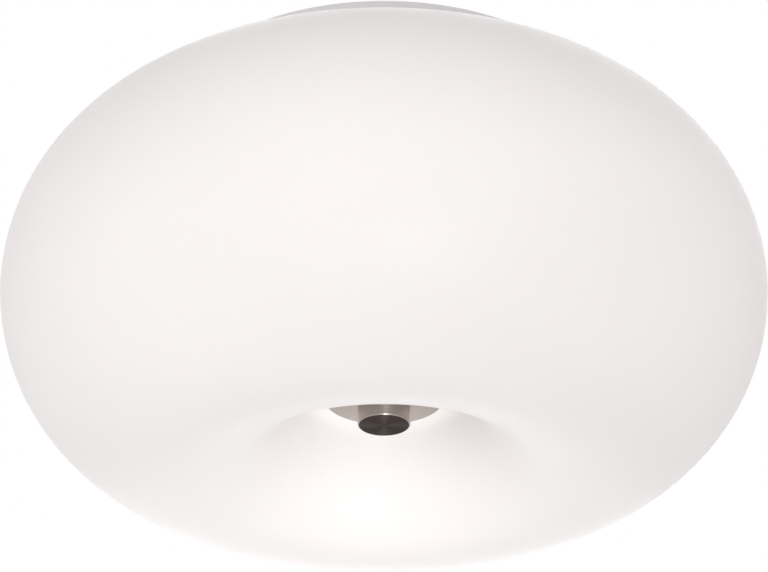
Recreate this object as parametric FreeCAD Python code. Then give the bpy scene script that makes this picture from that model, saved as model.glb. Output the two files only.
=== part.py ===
import FreeCAD, Part
import math
import os

from FreeCAD import Vector

# A flush mount ceiling light. A pressed steel pan sits against the ceiling and
# carries two lampholders and a threaded rod. The opal glass shade goes up over
# them, and a knob on the rod's end holds it through a disc in the glass's dimple.
# Millimetres. The origin is on the rod's axis in the ceiling's plane, +Z is up.

# ---------------------------------------------------------------- sizes
# Ceiling pan
PAN_R = 77.4
PAN_SHEET = 0.8
PAN_EDGE_R = 2.0
PAN_LIP_ROUND = 0.3
RECESS_DEPTH = 3.0
RECESS_STEP = 3.0
RECESS_INSET = 5.6
RECESS_BEND_R = 1.5
SKIRT_GAP = 0.6

# Screw slots and cable entry in the pan
SLOT_W = 4.5
SLOT_L = 10.0
SLOT_MARGIN = 4.0
GROMMET_BORE_R = 4.5
GROMMET_HOLE_R = 6.0
GROMMET_FLANGE_R = 8.0
GROMMET_LIP_T = 1.4
GROMMET_LIP_W = 1.2
GROMMET_ROUND = 0.5

# Foam ring between the pan and the glass
GASKET_T = 2.0
GASKET_W = 6.0

# Glass shade: an elliptic ring section that rolls into a funnel underneath
SHADE_R = 140.0
SECTION_ACROSS = 77.8
SECTION_UP = 73.8
SECTION_DOWN = 75.3
GLASS_WALL = 3.5
COLLAR_RISE = 5.4
COLLAR_CLEAR = 7.1
COLLAR_BEND_R = 2.5
RIM_ROUND = 1.0
ROLL_SLOPE = math.radians(28.0)
FUNNEL_SLOPE = math.radians(59.0)
SEAT_DEPTH = 38.1
SEAT_FILLET = 8.0
SEAT_CLEAR = 1.05
GLASS_HOLE_R = 8.0

# Soft bush, disc and knob in the dimple
BUSH_FLANGE_R = 19.5
BUSH_FLANGE_T = 0.8
BUSH_BORE_GAP = 0.5
BUSH_GLASS_GAP = 0.3
DISC_R = 21.6
DISC_T = 1.2
DISC_BORE_GAP = 0.4
DISC_EDGE = 0.25
KNOB_R = 9.5
KNOB_H = 10.1
KNOB_CHAMFER = 0.4
KNOB_END_WALL = 1.8
KNOB_BORE_GAP = 0.05

# Threaded rod, its nuts and the bridge that carries it
ROD_R = 5.0
ROD_CHAMFER = 0.7
ROD_IN_KNOB = 7.2
ROD_OVER_NUT = 2.0
NUT_FLATS = 14.0
NUT_T = 3.0
NUT_BEVEL = math.radians(30.0)
WASHER_R = 8.5
WASHER_T = 1.0
BRIDGE_SHEET = 1.5
BRIDGE_W = 18.0
BRIDGE_SPAN = 38.5
BRIDGE_H = 20.0
BRIDGE_FOOT = 14.0
BEND_R = 2.5
FIT = 0.05

# Rivets
RIVET_R = 1.6
RIVET_HEAD_R = 3.0
RIVET_HEAD_T = 1.0
RIVET_CROWN_R = 1.8
RIVET_ROUND = 0.5
RIVET_TAIL_R = 2.4
RIVET_TAIL_T = 0.8
RIVET_GAP = 0.05

# Lampholders and their brackets
HOLDER_R = 19.0
HOLDER_L = 44.0
HOLDER_BASE_R = 16.0
HOLDER_BASE_L = 11.0
HOLDER_SHOULDER = 3.0
HOLDER_FLOOR = 12.0
HOLDER_MOUTH_R = 15.5
HOLDER_MOUTH_L = 7.0
HOLDER_ROUND = 1.2
HOLDER_MOUTH_ROUND = 0.8
ROD_TO_HOLDER = 2.0
NECK_CLEAR = 3.0
BRACKET_SHEET = 1.5
BRACKET_W = 26.0
BRACKET_FOOT = 14.5
BRACKET_TAIL = 12.0
SHELL_WALL = 0.5
SHELL_OVER = 1.85
SHELL_LIFT = 4.0
LEAF_T = 0.5
LEAF_W = 6.0
LEAF_RISE = 1.3
LEAF_HALF = 7.0
LEAF_TOP_HALF = 2.4
LEAF_RAMP = 1.8
LEAF_BEND_R = 0.6
HOLDER_SCREW_R = 1.5
HOLDER_SCREW_L = 9.0
HOLDER_SCREW_SPREAD = 8.0
HOLDER_SCREW_ROOM = 0.5
SCREW_HEAD_R = 2.75
SCREW_HEAD_T = 2.0
SCREW_SLOT_W = 0.7
SCREW_POINT = 0.4
SCREW_DOME = 0.4

# Bulbs with a 27 mm screw cap and a 45 mm ball
BULB_R = 22.5
BULB_L = 78.0
BULB_NECK_R = 12.5
BULB_GLASS_WALL = 0.8
BULB_NECK_L = 7.0
CAP_THREAD_R = 13.1
CAP_THREAD_DEPTH = 0.8
CAP_PITCH = 3.63
CAP_TURNS = 5
CAP_SKIRT_L = 4.85
CAP_SKIRT_STEP = 0.5
CAP_WALL = 0.6
CAP_TO_SHELL = 0.3
TIP_R = 4.8
TIP_T = 1.1
TIP_ROUND = 0.6
INSULATOR_L = 3.3
INSULATOR_END_R = 5.5
INSULATOR_PLUG_L = 2.6
INSULATOR_PLUG_OUT = 0.6
BULB_TO_LEAF = 0.3

# Terminal block, earth point and wires
POLE_PITCH = 9.0
POLES = 3
BLOCK_END = 5.0
BLOCK_W = 16.0
BLOCK_BASE_H = 9.0
BLOCK_ROUND = 0.8
TOWER_R = 3.4
TOWER_H = 4.0
TOWER_FOOT = 1.0
CLAMP_R = 3.0
CLAMP_BORE_R = 2.2
CLAMP_L = 14.0
CLAMP_DROP = 5.5
BLOCK_SCREW_R = 1.45
BLOCK_SCREW_SPREAD = 4.0
BLOCK_SCREW_SINK = 0.6
BLOCK_SCREW_SLOT = 0.7
BLOCK_SCREW_BITE = 0.3
BLOCK_FIX_R = 1.25
BLOCK_FIX_HEAD_R = 2.1
BLOCK_FIX_HEAD_T = 1.6
BLOCK_FIX_OVER = 1.5
BLOCK_TO_BULB = 6.7
WIRE_ROOM = 17.0
WIRE_R = 0.9
WIRE_PAIR = 1.0
WIRE_HOLE_GAP = 0.3
WIRE_SPREAD = 5.0
WIRE_IN_HOLDER = 4.0
WIRE_IN_CLAMP = 7.0
WIRE_LEVEL_STEP = 4.7
WIRE_SWING = 13.0
WIRE_RIGHT_SWING = 3.0
WIRE_CLIMB = 9.0
WIRE_BEND_SHARE = 0.45
LIVE_LEFT_LANE = 6.0
NEUTRAL_LEFT_LANE = 2.0
LIVE_RIGHT_LANE = 2.0
NEUTRAL_RIGHT_LANE = 3.5
EARTH_LANE = 8.5
EARTH_SCREW_R = 2.0
EARTH_SCREW_OVER = 2.0
EARTH_HEAD_R = 4.0
EARTH_HEAD_T = 2.2
EARTH_WASHER_R = 4.4
EARTH_WASHER_T = 0.8
EARTH_TEETH = 12
EARTH_TOOTH_GAP_W = 0.7
EARTH_TOOTH_GAP_L = 0.9
EARTH_TO_BLOCK = 16.0
EARTH_BESIDE_BLOCK = 3.0
LUG_RING_R = 3.9
LUG_T = 0.8
LUG_NECK_L = 2.0
LUG_BARREL_R = 1.6
LUG_BARREL_L = 6.0
LUG_BARREL_LAP = 1.0
LUG_WIRE_L = 2.8
LUG_TO_PAN = 0.1

# ---------------------------------------------------------------- places
# Heights down the stack: pan, foam ring, glass, bush, disc, knob.
pan_under = -PAN_SHEET
floor_under = -RECESS_DEPTH - PAN_SHEET
rim_z = pan_under - GASKET_T
equator_z = rim_z - COLLAR_RISE - SECTION_UP
seat_z = equator_z - SEAT_DEPTH
disc_top_z = seat_z - BUSH_FLANGE_T
knob_top_z = disc_top_z - DISC_T
knob_end_z = knob_top_z - KNOB_H
rod_end_z = knob_top_z - ROD_IN_KNOB

# Radii of the neck, from the pan's skirt inwards.
section_r = SHADE_R - SECTION_ACROSS
collar_r = PAN_R - PAN_SHEET - COLLAR_CLEAR
neck_r = collar_r - GLASS_WALL
recess_r = neck_r - RECESS_INSET

# The bridge's plate and the rod's upper end.
plate_under = floor_under - BRIDGE_H
plate_over = plate_under + BRIDGE_SHEET
rod_top_z = plate_over + NUT_T + ROD_OVER_NUT

# The lampholders lie side by side, one each side of the rod, facing opposite ways.
block_h = BLOCK_BASE_H + TOWER_H
holder_y = ROD_R + ROD_TO_HOLDER + HOLDER_R
holder_z = floor_under - block_h - BLOCK_TO_BULB - BULB_R
holder_x = -math.sqrt((neck_r - NECK_CLEAR) ** 2 - (holder_y + HOLDER_BASE_R) ** 2)
shell_r = CAP_THREAD_R + CAP_TO_SHELL + SHELL_WALL
shell_l = CAP_TURNS * CAP_PITCH + SHELL_OVER
leaf_top = HOLDER_FLOOR + LEAF_T + LEAF_RISE
bulb_start = leaf_top + BULB_TO_LEAF

# The terminal block lies on the pan, beside the bridge.
block_l = (POLES - 1) * POLE_PITCH + 2 * BLOCK_END
block_near_y = BRIDGE_W / 2 + WIRE_ROOM
block_y = block_near_y + BLOCK_W / 2
pole_x = [(i - (POLES - 1) / 2) * POLE_PITCH for i in range(POLES)]
clamp_z = floor_under - CLAMP_DROP
earth_x = block_l / 2 + EARTH_TO_BLOCK
earth_y = block_y + EARTH_BESIDE_BLOCK
lug_axis_z = floor_under - LUG_BARREL_R - LUG_TO_PAN
lug_start_y = -LUG_RING_R - LUG_NECK_L - LUG_BARREL_L + LUG_BARREL_LAP
wire_start_z = holder_z + math.sqrt(HOLDER_BASE_R ** 2 - WIRE_SPREAD ** 2) - WIRE_IN_HOLDER

SIDES = {"left": 0.0, "right": 180.0}

# How far a cutter runs past what it cuts.
PAST = 1.0


# ---------------------------------------------------------------- helpers
def at(r, z):
    """A point of an outline in the half plane of the axis."""
    return Vector(r, 0, z)


def corner_cut(before, corner, after, radius):
    """Where a round of this radius leaves the two sides of a corner, and its middle."""
    to_before = (before - corner).normalize()
    to_after = (after - corner).normalize()
    half = to_before.getAngle(to_after) / 2
    along = radius / math.tan(half)
    inward = (to_before + to_after).normalize()
    middle = corner + inward * (radius / math.sin(half) - radius)
    return corner + to_before * along, middle, corner + to_after * along


def run_edges(points, radii, closed):
    """Straight runs through the points, joined by tangent arcs of the given radii."""
    count = len(points)
    stops = []
    for i, point in enumerate(points):
        if radii[i] and (closed or 0 < i < count - 1):
            stops.append(corner_cut(points[i - 1], point, points[(i + 1) % count], radii[i]))
        else:
            stops.append((point, None, point))
    edges = []
    for i, (start, middle, end) in enumerate(stops):
        if middle:
            edges.append(Part.Arc(start, middle, end).toShape())
        last = i == count - 1
        if last and not closed:
            break
        following = stops[(i + 1) % count][0]
        if (following - end).Length > 1e-6:
            edges.append(Part.LineSegment(end, following).toShape())
    return edges


def outline(corners):
    """A closed outline from (r, z) or (r, z, round) corners."""
    points = [at(c[0], c[1]) for c in corners]
    radii = [c[2] if len(c) > 2 else 0 for c in corners]
    return Part.Face(Part.Wire(run_edges(points, radii, True)))


def turned(corners):
    """A solid turned about the Z axis from its outline."""
    return outline(corners).revolve(Vector(0, 0, 0), Vector(0, 0, 1), 360)


def turned_edges(edges):
    """A solid turned about the Z axis from a chain of edges."""
    face = Part.Face(Part.Wire(edges))
    return face.revolve(Vector(0, 0, 0), Vector(0, 0, 1), 360)


def cylinder(radius, height, x=0.0, y=0.0, z=0.0, axis=Vector(0, 0, 1)):
    return Part.makeCylinder(radius, height, Vector(x, y, z), axis)


def moved(shape, x, y, z):
    copy = shape.copy()
    copy.translate(Vector(x, y, z))
    return copy


def spun(shape, angle):
    """A copy turned about the rod's axis."""
    copy = shape.copy()
    copy.rotate(Vector(0, 0, 0), Vector(0, 0, 1), angle)
    return copy


def on_holder(shape, angle):
    """Move a shape made along +Z from the lampholder's base to its place in the light."""
    copy = shape.copy()
    copy.rotate(Vector(0, 0, 0), Vector(0, 1, 0), 90)
    copy.translate(Vector(holder_x, holder_y, holder_z))
    return spun(copy, angle)


def strip(points, sheet, width, bend):
    """A bent strip of sheet metal whose middle line runs through points in the XZ plane."""
    radii = [bend] * len(points)
    path = Part.Wire(run_edges([at(x, z) for x, z in points], radii, False))
    start = at(*points[0])
    along = (at(*points[1]) - start).normalize()
    across = Vector(0, 1, 0)
    up = along.cross(across)
    corners = []
    for side, height in ((-1, -1), (1, -1), (1, 1), (-1, 1), (-1, -1)):
        corners.append(start + across * (side * width / 2) + up * (height * sheet / 2))
    return path.makePipeShell([Part.makePolygon(corners)], True, False)


def tube(points, radius):
    """A round wire along straight runs joined by arcs as large as the runs allow."""
    radii = [0.0] * len(points)
    for i in range(1, len(points) - 1):
        before = points[i - 1] - points[i]
        after = points[i + 1] - points[i]
        turn = math.pi - before.getAngle(after)
        radii[i] = WIRE_BEND_SHARE * min(before.Length, after.Length) / math.tan(turn / 2)
    path = Part.Wire(run_edges(points, radii, False))
    ring = Part.makeCircle(radius, points[0], points[1] - points[0])
    solid = path.makePipeShell([Part.Wire(ring)], True, True)
    ideal = math.pi * radius ** 2 * path.Length
    print("wire radii", [round(r, 1) for r in radii[1:-1]], "volume share", round(solid.Volume / ideal, 4))
    return solid


def ring_edges(solid, radius, z):
    """The round edges of a solid at this radius and height."""
    found = []
    for edge in solid.Edges:
        curve = edge.Curve
        if isinstance(curve, Part.Circle) and abs(curve.Radius - radius) < 1e-3:
            if abs(curve.Center.z - z) < 1e-3:
                found.append(edge)
    return found


def rivet(grip):
    """A domed rivet whose grip runs down from z = 0."""
    tail = -grip - RIVET_TAIL_T
    top = [(0, RIVET_HEAD_T), (RIVET_CROWN_R, RIVET_HEAD_T, RIVET_ROUND), (RIVET_HEAD_R, 0)]
    shank = [(RIVET_R, 0), (RIVET_R, -grip)]
    low = [(RIVET_HEAD_R, -grip), (RIVET_TAIL_R, tail, RIVET_ROUND), (0, tail)]
    return turned(top + shank + low)


def slot_box(half, low, high):
    """A driver's slot along X, between two heights."""
    corner = Vector(-half, -SCREW_SLOT_W / 2, low)
    return Part.makeBox(2 * half, SCREW_SLOT_W, high - low, corner)


def slotted_screw(shank_r, shank_l, head_r, head_t):
    """A slotted round-head screw: shank up from z = 0, head below it."""
    head = [(0, -head_t), (head_r, -head_t, head_t * SCREW_DOME), (head_r, 0)]
    point_z = shank_l - SCREW_POINT
    shank = [(shank_r, 0), (shank_r, point_z), (shank_r - SCREW_POINT, shank_l), (0, shank_l)]
    return turned(head + shank).cut(slot_box(head_r + PAST, -head_t, -head_t / 2))


def hex_nut(z):
    """A thin hexagon nut on the rod, from z upwards."""
    corner_r = NUT_FLATS / math.sqrt(3)
    points = []
    for i in range(7):
        angle = math.radians(60 * i)
        points.append(Vector(corner_r * math.cos(angle), corner_r * math.sin(angle), z))
    blank = Part.Face(Part.makePolygon(points)).extrude(Vector(0, 0, NUT_T))
    flat_r = NUT_FLATS / 2
    bevel = (corner_r - flat_r) * math.tan(NUT_BEVEL)
    limit = turned([
        (0, z), (flat_r, z), (corner_r, z + bevel),
        (corner_r, z + NUT_T - bevel), (flat_r, z + NUT_T), (0, z + NUT_T),
    ])
    return blank.common(limit).cut(cylinder(ROD_R + FIT, NUT_T + 2 * PAST, z=z - PAST))


# ---------------------------------------------------------------- pan
def slot_places():
    """Middles of the two screw slots."""
    x = recess_r - SLOT_MARGIN - SLOT_L / 2
    return [(-x, 0.0), (x, 0.0)]


def bracket_rivet_places():
    """Rivets of one lampholder bracket, on the left side."""
    x = holder_x + BRACKET_FOOT / 2
    return [(x, holder_y - BRACKET_W / 4), (x, holder_y + BRACKET_W / 4)]


def bridge_rivet_places():
    x = BRIDGE_SPAN / 2 + BRIDGE_FOOT / 2 + BEND_R / 2
    return [(-x, 0.0), (x, 0.0)]


def block_fix_place():
    """The block's own screw stands between its first two poles."""
    return (pole_x[0] + pole_x[1]) / 2, block_y


def shoulder_z(r):
    """Height of the glass's upper outside at this radius."""
    return equator_z + SECTION_UP * math.sqrt(1 - ((r - section_r) / SECTION_ACROSS) ** 2)


def slot_cutter(x, y):
    half = SLOT_L / 2 - SLOT_W / 2
    deep = RECESS_DEPTH + PAN_SHEET + PAST
    cutter = Part.makeBox(2 * half, SLOT_W, deep, Vector(x - half, y - SLOT_W / 2, -deep))
    for end in (x - half, x + half):
        cutter = cutter.fuse(cylinder(SLOT_W / 2, deep, end, y, -deep))
    return cutter


def pan():
    skirt_z = shoulder_z(PAN_R) + SKIRT_GAP
    inner_r = PAN_R - PAN_SHEET
    slope_shift = PAN_SHEET * math.tan(math.atan2(RECESS_DEPTH, RECESS_STEP) / 2)
    top = [
        (0, -RECESS_DEPTH), (recess_r, -RECESS_DEPTH, RECESS_BEND_R),
        (recess_r + RECESS_STEP, 0, RECESS_BEND_R), (PAN_R, 0, PAN_EDGE_R),
        (PAN_R, skirt_z, PAN_LIP_ROUND), (inner_r, skirt_z, PAN_LIP_ROUND),
    ]
    under = [
        (inner_r, pan_under, PAN_EDGE_R - PAN_SHEET),
        (recess_r + RECESS_STEP + slope_shift, pan_under, RECESS_BEND_R),
        (recess_r + slope_shift, floor_under, RECESS_BEND_R), (0, floor_under),
    ]
    sheet = turned(top + under)
    deep = PAN_SHEET + 2 * PAST
    low = floor_under - PAST
    cutters = [slot_cutter(x, y) for x, y in slot_places()]
    cutters.append(cylinder(GROMMET_HOLE_R, deep, z=low))
    hole_r = RIVET_R + RIVET_GAP
    for x, y in bridge_rivet_places():
        cutters.append(cylinder(hole_r, deep, x, y, low))
    for angle in SIDES.values():
        for x, y in bracket_rivet_places():
            cutters.append(spun(cylinder(hole_r, deep, x, y, low), angle))
    fx, fy = block_fix_place()
    cutters.append(cylinder(BLOCK_FIX_R + FIT, deep, fx, fy, low))
    cutters.append(cylinder(EARTH_SCREW_R + FIT, deep, earth_x, earth_y, low))
    return sheet.cut(cutters)


def grommet():
    """A rubber grommet clipped over the edge of the cable hole in the pan's middle."""
    over = FIT - RECESS_DEPTH
    under = floor_under - FIT
    top = GROMMET_LIP_T - RECESS_DEPTH
    low = floor_under - GROMMET_LIP_T
    neck = GROMMET_HOLE_R - FIT
    return turned([
        (GROMMET_BORE_R, top), (neck + GROMMET_LIP_W, top, GROMMET_ROUND),
        (GROMMET_HOLE_R + GROMMET_LIP_W, over), (neck, over), (neck, under),
        (GROMMET_FLANGE_R, under), (GROMMET_FLANGE_R, low, GROMMET_ROUND), (GROMMET_BORE_R, low),
    ])


def gasket():
    """A flat foam ring under the pan's rim, which the glass's collar presses on."""
    middle = (collar_r + neck_r) / 2
    inner = middle - GASKET_W / 2
    outer = middle + GASKET_W / 2
    return turned([(inner, pan_under), (outer, pan_under), (outer, rim_z), (inner, rim_z)])


# ---------------------------------------------------------------- glass
def section_arc(across, height, sign, end):
    """The section's ellipse from the equator, up or down, to the angle end."""
    centre = at(section_r, equator_z)
    side = at(section_r + across, equator_z)
    tip = at(section_r, equator_z + sign * height)
    if across >= height:
        return Part.Ellipse(side, tip, centre).toShape(0, end)
    return Part.Ellipse(tip, side, centre).toShape(math.pi / 2 - end, math.pi / 2)


def upper_side(inset, r):
    """The section above the equator, up to the neck, with its end point."""
    across = SECTION_ACROSS - inset
    height = SECTION_UP - inset
    end = math.acos((r - section_r) / across)
    return section_arc(across, height, 1, end), at(r, equator_z + height * math.sin(end))


def lower_side(inset):
    """The section below the equator: ellipse, roll, funnel, seat and hole."""
    across = SECTION_ACROSS - inset
    height = SECTION_DOWN - inset
    end = math.atan2(height, across * math.tan(ROLL_SLOPE))
    leave = at(section_r + across * math.cos(end), equator_z - height * math.sin(end))
    # The fillet between the funnel and the flat seat, which is a little wider than the disc.
    seat = seat_z + inset
    flat = at(DISC_R + SEAT_CLEAR, seat)
    fillet = SEAT_FILLET + inset
    fillet_middle = flat - at(0, fillet)
    facing = at(math.sin(FUNNEL_SLOPE), math.cos(FUNNEL_SLOPE))
    half_facing = at(math.sin(FUNNEL_SLOPE / 2), math.cos(FUNNEL_SLOPE / 2))
    turn = fillet_middle + facing * fillet
    # The roll leaves the ellipse at ROLL_SLOPE and meets the funnel's straight side.
    roll_r = (leave - turn).dot(facing) / (1 - math.cos(ROLL_SLOPE + FUNNEL_SLOPE))
    roll_middle = leave + at(-math.sin(ROLL_SLOPE), math.cos(ROLL_SLOPE)) * roll_r
    lowest = roll_middle - at(0, roll_r)
    rise = roll_middle - facing * roll_r
    return [
        section_arc(across, height, -1, end),
        Part.Arc(leave, lowest, rise).toShape(),
        Part.LineSegment(rise, turn).toShape(),
        Part.Arc(turn, fillet_middle + half_facing * fillet, flat).toShape(),
        Part.LineSegment(flat, at(GLASS_HOLE_R, seat)).toShape(),
    ]


def glass():
    outer_arc, shoulder = upper_side(0, collar_r)
    inner_arc, throat = upper_side(GLASS_WALL, neck_r)
    rim_out = at(collar_r, rim_z)
    rim_in = at(neck_r, rim_z)
    edges = [outer_arc] + lower_side(0)
    hole_edge = at(GLASS_HOLE_R, seat_z)
    edges.append(Part.LineSegment(hole_edge, hole_edge + at(0, GLASS_WALL)).toShape())
    edges += lower_side(GLASS_WALL)
    edges.append(inner_arc)
    edges.append(Part.LineSegment(throat, rim_in).toShape())
    edges.append(Part.LineSegment(rim_in, rim_out).toShape())
    edges.append(Part.LineSegment(rim_out, shoulder).toShape())
    shade = turned_edges(Part.__sortEdges__(edges))
    shade = shade.makeFillet(COLLAR_BEND_R, ring_edges(shade, collar_r, shoulder.z))
    shade = shade.makeFillet(COLLAR_BEND_R + GLASS_WALL, ring_edges(shade, neck_r, throat.z))
    rim = ring_edges(shade, collar_r, rim_z) + ring_edges(shade, neck_r, rim_z)
    return shade.makeFillet(RIM_ROUND, rim)


def bush():
    """A soft bush in the glass's hole, with the flange that the disc presses on."""
    bore = ROD_R + BUSH_BORE_GAP
    sleeve = GLASS_HOLE_R - BUSH_GLASS_GAP
    top = seat_z + GLASS_WALL
    return turned([
        (bore, top), (sleeve, top), (sleeve, seat_z), (BUSH_FLANGE_R, seat_z),
        (BUSH_FLANGE_R, disc_top_z), (bore, disc_top_z),
    ])


def disc():
    bore = ROD_R + DISC_BORE_GAP
    return turned([
        (bore, disc_top_z), (DISC_R, disc_top_z, DISC_EDGE),
        (DISC_R, knob_top_z, DISC_EDGE), (bore, knob_top_z),
    ])


def knob():
    """The turned knob, with a blind bore for the rod's end."""
    bore = ROD_R + KNOB_BORE_GAP
    bore_end = knob_end_z + KNOB_END_WALL
    return turned([
        (bore, knob_top_z), (KNOB_R, knob_top_z), (KNOB_R, knob_end_z + KNOB_CHAMFER),
        (KNOB_R - KNOB_CHAMFER, knob_end_z), (0, knob_end_z), (0, bore_end), (bore, bore_end),
    ])


# ---------------------------------------------------------------- rod and bridge
def rod():
    return turned([
        (0, rod_top_z), (ROD_R - ROD_CHAMFER, rod_top_z), (ROD_R, rod_top_z - ROD_CHAMFER),
        (ROD_R, rod_end_z + ROD_CHAMFER), (ROD_R - ROD_CHAMFER, rod_end_z), (0, rod_end_z),
    ])


def rod_nuts():
    lower = plate_under - WASHER_T - NUT_T
    return Part.makeCompound([hex_nut(plate_over), hex_nut(lower)])


def rod_washer():
    bore = ROD_R + 2 * FIT
    low = plate_under - WASHER_T
    return turned([(bore, low), (WASHER_R, low), (WASHER_R, plate_under), (bore, plate_under)])


def bridge():
    """A hat-shaped strap riveted under the pan."""
    foot_z = floor_under - BRIDGE_SHEET / 2
    plate_z = plate_under + BRIDGE_SHEET / 2
    leg_x = BRIDGE_SPAN / 2
    foot_x = leg_x + BRIDGE_FOOT
    left = [(-foot_x, foot_z), (-leg_x, foot_z), (-leg_x, plate_z)]
    right = [(leg_x, plate_z), (leg_x, foot_z), (foot_x, foot_z)]
    shape = strip(left + right, BRIDGE_SHEET, BRIDGE_W, BEND_R)
    deep = 2 * BRIDGE_SHEET
    shape = shape.cut(cylinder(ROD_R + FIT, deep, z=plate_z - BRIDGE_SHEET))
    for x, y in bridge_rivet_places():
        shape = shape.cut(cylinder(RIVET_R + RIVET_GAP, deep, x, y, foot_z - BRIDGE_SHEET))
    return shape


def bridge_rivets():
    shape = rivet(PAN_SHEET + BRIDGE_SHEET)
    return Part.makeCompound([moved(shape, x, y, -RECESS_DEPTH) for x, y in bridge_rivet_places()])


# ---------------------------------------------------------------- lampholders
def holder_bracket(angle):
    """An angle bracket: its foot is under the pan, its leg carries the lampholder."""
    foot_z = floor_under - BRACKET_SHEET / 2
    leg_x = holder_x - BRACKET_SHEET / 2
    points = [(holder_x + BRACKET_FOOT, foot_z), (leg_x, foot_z), (leg_x, holder_z - BRACKET_TAIL)]
    shape = moved(strip(points, BRACKET_SHEET, BRACKET_W, BEND_R), 0, holder_y, 0)
    for x, y in bracket_rivet_places():
        hole = cylinder(RIVET_R + RIVET_GAP, 2 * BRACKET_SHEET, x, y, foot_z - BRACKET_SHEET)
        shape = shape.cut(hole)
    shape = spun(shape, angle)
    return shape.cut([on_holder(hole, angle) for hole in holder_screw_holes(-2 * BRACKET_SHEET)])


def bracket_rivets():
    shape = rivet(PAN_SHEET + BRACKET_SHEET)
    rivets = []
    for angle in SIDES.values():
        for x, y in bracket_rivet_places():
            rivets.append(spun(moved(shape, x, y, -RECESS_DEPTH), angle))
    return Part.makeCompound(rivets)


def holder_screw_holes(start):
    """Clearance holes of the two screws, along the lampholder's axis."""
    radius = HOLDER_SCREW_R + FIT
    deep = HOLDER_SCREW_L - BRACKET_SHEET + HOLDER_SCREW_ROOM - start
    return [cylinder(radius, deep, 0, side * HOLDER_SCREW_SPREAD, start) for side in (-1, 1)]


def wire_hole(side):
    """A terminal hole that opens on the lampholder's base, towards the pan."""
    radius = WIRE_R + WIRE_HOLE_GAP
    surface = math.sqrt(HOLDER_BASE_R ** 2 - WIRE_SPREAD ** 2)
    hole_end = -(surface - WIRE_IN_HOLDER - HOLDER_SCREW_ROOM)
    reach = -HOLDER_BASE_R - PAST
    deep = hole_end - reach
    return cylinder(radius, deep, reach, side * WIRE_SPREAD, HOLDER_BASE_L / 2, Vector(1, 0, 0))


def holder_body(angle):
    bore = shell_r + FIT
    mouth = HOLDER_L - HOLDER_MOUTH_L
    shape = turned([
        (0, 0), (HOLDER_BASE_R, 0, HOLDER_ROUND), (HOLDER_BASE_R, HOLDER_BASE_L, HOLDER_ROUND),
        (HOLDER_R, HOLDER_BASE_L + HOLDER_SHOULDER, HOLDER_ROUND), (HOLDER_R, HOLDER_L, HOLDER_ROUND),
        (HOLDER_MOUTH_R, HOLDER_L, HOLDER_MOUTH_ROUND), (HOLDER_MOUTH_R, mouth),
        (bore, mouth), (bore, HOLDER_FLOOR), (0, HOLDER_FLOOR),
    ])
    shape = shape.cut(holder_screw_holes(-PAST))
    shape = shape.cut([wire_hole(side) for side in (-1, 1)])
    return on_holder(shape, angle)


def screw_shell(angle):
    """The brass screw shell, lining the lampholder's bore."""
    start = HOLDER_FLOOR + SHELL_LIFT
    bore = shell_r - SHELL_WALL
    return on_holder(turned([
        (bore, start), (shell_r, start), (shell_r, start + shell_l), (bore, start + shell_l),
    ]), angle)


def centre_contact(angle):
    """A raised brass leaf on the lampholder's floor."""
    low = HOLDER_FLOOR + LEAF_T / 2
    high = low + LEAF_RISE
    ramp = LEAF_TOP_HALF + LEAF_RAMP
    right = [(LEAF_TOP_HALF, high), (ramp, low), (LEAF_HALF, low)]
    left = [(-x, z) for x, z in reversed(right)]
    return on_holder(strip(left + right, LEAF_T, LEAF_W, LEAF_BEND_R), angle)


def holder_screws():
    """Two screws through each bracket into the lampholder's base."""
    shape = slotted_screw(HOLDER_SCREW_R, HOLDER_SCREW_L, SCREW_HEAD_R, SCREW_HEAD_T)
    screws = []
    for angle in SIDES.values():
        for side in (-1, 1):
            placed = moved(shape, 0, side * HOLDER_SCREW_SPREAD, -BRACKET_SHEET)
            screws.append(on_holder(placed, angle))
    return Part.makeCompound(screws)


# ---------------------------------------------------------------- bulbs
def bulb_glass(angle):
    """The ball and its neck, blown thin."""
    centre = bulb_start + BULB_L - BULB_R
    cap_end = bulb_start + TIP_T + INSULATOR_L + CAP_TURNS * CAP_PITCH + CAP_SKIRT_L
    neck_start = cap_end - CAP_SKIRT_L
    bend_start = neck_start + BULB_NECK_L
    sides = []
    for inset in (0, BULB_GLASS_WALL):
        ball = BULB_R - inset
        neck = BULB_NECK_R - inset
        reach = centre - bend_start
        bend = (reach ** 2 - ball ** 2 + neck ** 2) / (2 * (ball - neck))
        angle_in = math.atan2(reach, neck + bend)
        meet = at(ball * math.cos(angle_in), centre - ball * math.sin(angle_in))
        half = angle_in / 2
        bend_mid = at(neck + bend - bend * math.cos(half), bend_start + bend * math.sin(half))
        sides.append([
            Part.LineSegment(at(neck, neck_start), at(neck, bend_start)).toShape(),
            Part.Arc(at(neck, bend_start), bend_mid, meet).toShape(),
            Part.Arc(meet, at(ball, centre), at(0, centre + ball)).toShape(),
        ])
    tip = Part.LineSegment(at(0, centre + BULB_R), at(0, centre + BULB_R - BULB_GLASS_WALL))
    mouth = Part.LineSegment(at(BULB_NECK_R, neck_start), at(BULB_NECK_R - BULB_GLASS_WALL, neck_start))
    edges = sides[0] + sides[1] + [tip.toShape(), mouth.toShape()]
    return on_holder(turned_edges(Part.__sortEdges__(edges)), angle)


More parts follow.
